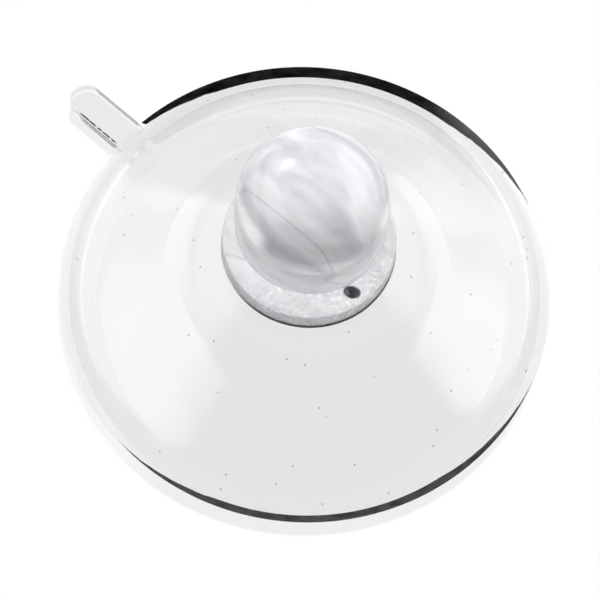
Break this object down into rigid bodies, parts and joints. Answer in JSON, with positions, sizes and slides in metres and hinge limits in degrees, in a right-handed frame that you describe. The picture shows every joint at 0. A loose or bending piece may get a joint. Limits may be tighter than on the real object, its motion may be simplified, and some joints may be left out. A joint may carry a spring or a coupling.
{
  "type": "mushroom-head suction cup",
  "caption": "Clear soft suction cup with a flexible dished disc, a thick round collar, a bendable neck under a mushroom head, and a pull tab on the rim.",
  "frame": {"origin": "centre of the circular sealing face, on the cup's axis, in the plane that the lip rests on", "axes": "+Z along the cup's axis from the sealing face to the mushroom head; the pull tab leaves the rim at azimuth 135 degrees, between -X and +Y"},
  "size_m": [0.045, 0.045, 0.0252],
  "materials": {
    "clear_pvc_thin": "clear soft PVC, glossy as moulded, thin",
    "clear_pvc_thick": "clear soft PVC, glossy as moulded, thick, with faint flow lines",
    "clear_pvc_tab": "clear soft PVC, glossy, thin flat tab"
  },
  "bodies": {
    "cup": {"sealing_lip": "clear_pvc_thin", "suction_dish": "clear_pvc_thin", "tab_root": "clear_pvc_tab"},
    "boss": {"collar": "clear_pvc_thick"},
    "waist": {"neck": "clear_pvc_thick"},
    "knob": {"mushroom_head": "clear_pvc_thick"},
    "tab": {"pull_tab": "clear_pvc_tab"}
  },
  "joints": [
    {"name": "press", "type": "slide", "parent": "cup", "child": "boss", "axis": [0, 0, -1], "range_m": [0, 0.006], "stiffness_N_per_m": 2500, "deforming": ["suction_dish"]},
    {"name": "head_tilt_x", "type": "hinge", "parent": "boss", "child": "waist", "pos_m": [0, 0, 0.01329], "axis": [1, 0, 0], "range_deg": [-12, 12], "stiffness_Nm_per_rad": 0.5, "deforming": ["neck"]},
    {"name": "head_tilt_y", "type": "hinge", "parent": "waist", "child": "knob", "pos_m": [0, 0, 0.01329], "axis": [0, 1, 0], "range_deg": [-12, 12], "stiffness_Nm_per_rad": 0.5},
    {"name": "tab_lift", "type": "hinge", "parent": "cup", "child": "tab", "pos_m": [-0.01644, 0.01644, 0.00089], "axis": [0.7071, 0.7071, 0], "range_deg": [0, 80], "stiffness_Nm_per_rad": 0.001, "deforming": ["tab_root"]}
  ]
}
